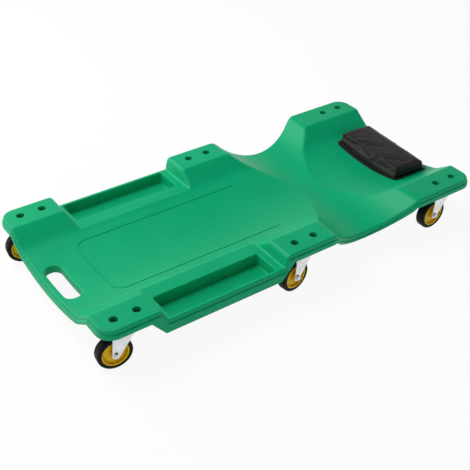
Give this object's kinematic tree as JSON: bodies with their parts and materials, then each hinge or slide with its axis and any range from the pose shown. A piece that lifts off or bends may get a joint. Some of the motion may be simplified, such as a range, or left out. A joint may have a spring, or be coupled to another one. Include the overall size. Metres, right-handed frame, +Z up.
{
  "type": "mechanic creeper",
  "caption": "Low wheeled creeper: moulded deck with a dished body trough, side tool trays, waist cut-ins and a hand slot, padded headrest, swivel casters below.",
  "frame": {"origin": "on the ground under the middle of the deck", "axes": "+X towards the head end, +Y towards the lying person's left, +Z up"},
  "size_m": [0.994, 0.48, 0.12],
  "materials": {
    "deck_green": "satin moulded polyethylene",
    "headrest_vinyl": "soft matt vinyl",
    "board_black": "matt",
    "zinc": "zinc plated pressed sheet",
    "bright_steel": "bright plated",
    "hub_yellow": "gloss moulded",
    "tyre_black": "hard rubber"
  },
  "bodies": {
    "creeper_deck": {"deck": "deck_green", "headrest_cushion": "headrest_vinyl", "headrest_board": "board_black", "headrest_screws": "bright_steel", "mount_bolts": "bright_steel", "mount_washers": "bright_steel", "mount_nuts": "bright_steel", "foot_left_plate": "zinc", "foot_left_kingpin": "zinc", "foot_right_plate": "zinc", "foot_right_kingpin": "zinc", "mid_left_plate": "zinc", "mid_left_kingpin": "zinc", "mid_right_plate": "zinc", "mid_right_kingpin": "zinc", "head_left_plate": "zinc", "head_left_kingpin": "zinc", "head_right_plate": "zinc", "head_right_kingpin": "zinc"},
    "foot_left_swivel": {"foot_left_fork": "zinc", "foot_left_balls": "bright_steel", "foot_left_axle": "bright_steel", "foot_left_bush": "bright_steel"},
    "foot_left_wheel": {"foot_left_hub": "hub_yellow", "foot_left_tyre": "tyre_black"},
    "foot_right_swivel": {"foot_right_fork": "zinc", "foot_right_balls": "bright_steel", "foot_right_axle": "bright_steel", "foot_right_bush": "bright_steel"},
    "foot_right_wheel": {"foot_right_hub": "hub_yellow", "foot_right_tyre": "tyre_black"},
    "mid_left_swivel": {"mid_left_fork": "zinc", "mid_left_balls": "bright_steel", "mid_left_axle": "bright_steel", "mid_left_bush": "bright_steel"},
    "mid_left_wheel": {"mid_left_hub": "hub_yellow", "mid_left_tyre": "tyre_black"},
    "mid_right_swivel": {"mid_right_fork": "zinc", "mid_right_balls": "bright_steel", "mid_right_axle": "bright_steel", "mid_right_bush": "bright_steel"},
    "mid_right_wheel": {"mid_right_hub": "hub_yellow", "mid_right_tyre": "tyre_black"},
    "head_left_swivel": {"head_left_fork": "zinc", "head_left_balls": "bright_steel", "head_left_axle": "bright_steel", "head_left_bush": "bright_steel"},
    "head_left_wheel": {"head_left_hub": "hub_yellow", "head_left_tyre": "tyre_black"},
    "head_right_swivel": {"head_right_fork": "zinc", "head_right_balls": "bright_steel", "head_right_axle": "bright_steel", "head_right_bush": "bright_steel"},
    "head_right_wheel": {"head_right_hub": "hub_yellow", "head_right_tyre": "tyre_black"}
  },
  "joints": [
    {"name": "foot_left_swivel_turn", "type": "hinge", "parent": "creeper_deck", "child": "foot_left_swivel", "pos_m": [-0.431, 0.205, 0.091], "axis": [0, 0, 1], "continuous": true},
    {"name": "foot_left_wheel_roll", "type": "hinge", "parent": "foot_left_swivel", "child": "foot_left_wheel", "pos_m": [-0.45873, 0.2089, 0.0375], "axis": [0.1392, 0.9903, 0], "continuous": true},
    {"name": "foot_right_swivel_turn", "type": "hinge", "parent": "creeper_deck", "child": "foot_right_swivel", "pos_m": [-0.431, -0.205, 0.091], "axis": [0, 0, 1], "continuous": true},
    {"name": "foot_right_wheel_roll", "type": "hinge", "parent": "foot_right_swivel", "child": "foot_right_wheel", "pos_m": [-0.45879, -0.20159, 0.0375], "axis": [0.1219, 0.9925, 0], "continuous": true},
    {"name": "mid_left_swivel_turn", "type": "hinge", "parent": "creeper_deck", "child": "mid_left_swivel", "pos_m": [0.006, 0.205, 0.091], "axis": [0, 0, 1], "continuous": true},
    {"name": "mid_left_wheel_roll", "type": "hinge", "parent": "mid_left_swivel", "child": "mid_left_wheel", "pos_m": [-0.02105, 0.19775, 0.0375], "axis": [-0.2588, 0.9659, 0], "continuous": true},
    {"name": "mid_right_swivel_turn", "type": "hinge", "parent": "creeper_deck", "child": "mid_right_swivel", "pos_m": [0.006, -0.205, 0.091], "axis": [0, 0, 1], "continuous": true},
    {"name": "mid_right_wheel_roll", "type": "hinge", "parent": "mid_right_swivel", "child": "mid_right_wheel", "pos_m": [-0.02173, -0.2089, 0.0375], "axis": [-0.1392, 0.9903, 0], "continuous": true},
    {"name": "head_left_swivel_turn", "type": "hinge", "parent": "creeper_deck", "child": "head_left_swivel", "pos_m": [0.429, 0.205, 0.091], "axis": [0, 0, 1], "continuous": true},
    {"name": "head_left_wheel_roll", "type": "hinge", "parent": "head_left_swivel", "child": "head_left_wheel", "pos_m": [0.40161, 0.21082, 0.0375], "axis": [0.2079, 0.9781, 0], "continuous": true},
    {"name": "head_right_swivel_turn", "type": "hinge", "parent": "creeper_deck", "child": "head_right_swivel", "pos_m": [0.429, -0.205, 0.091], "axis": [0, 0, 1], "continuous": true},
    {"name": "head_right_wheel_roll", "type": "hinge", "parent": "head_right_swivel", "child": "head_right_wheel", "pos_m": [0.401, -0.20549, 0.0375], "axis": [-0.0175, 0.9998, 0], "continuous": true}
  ]
}
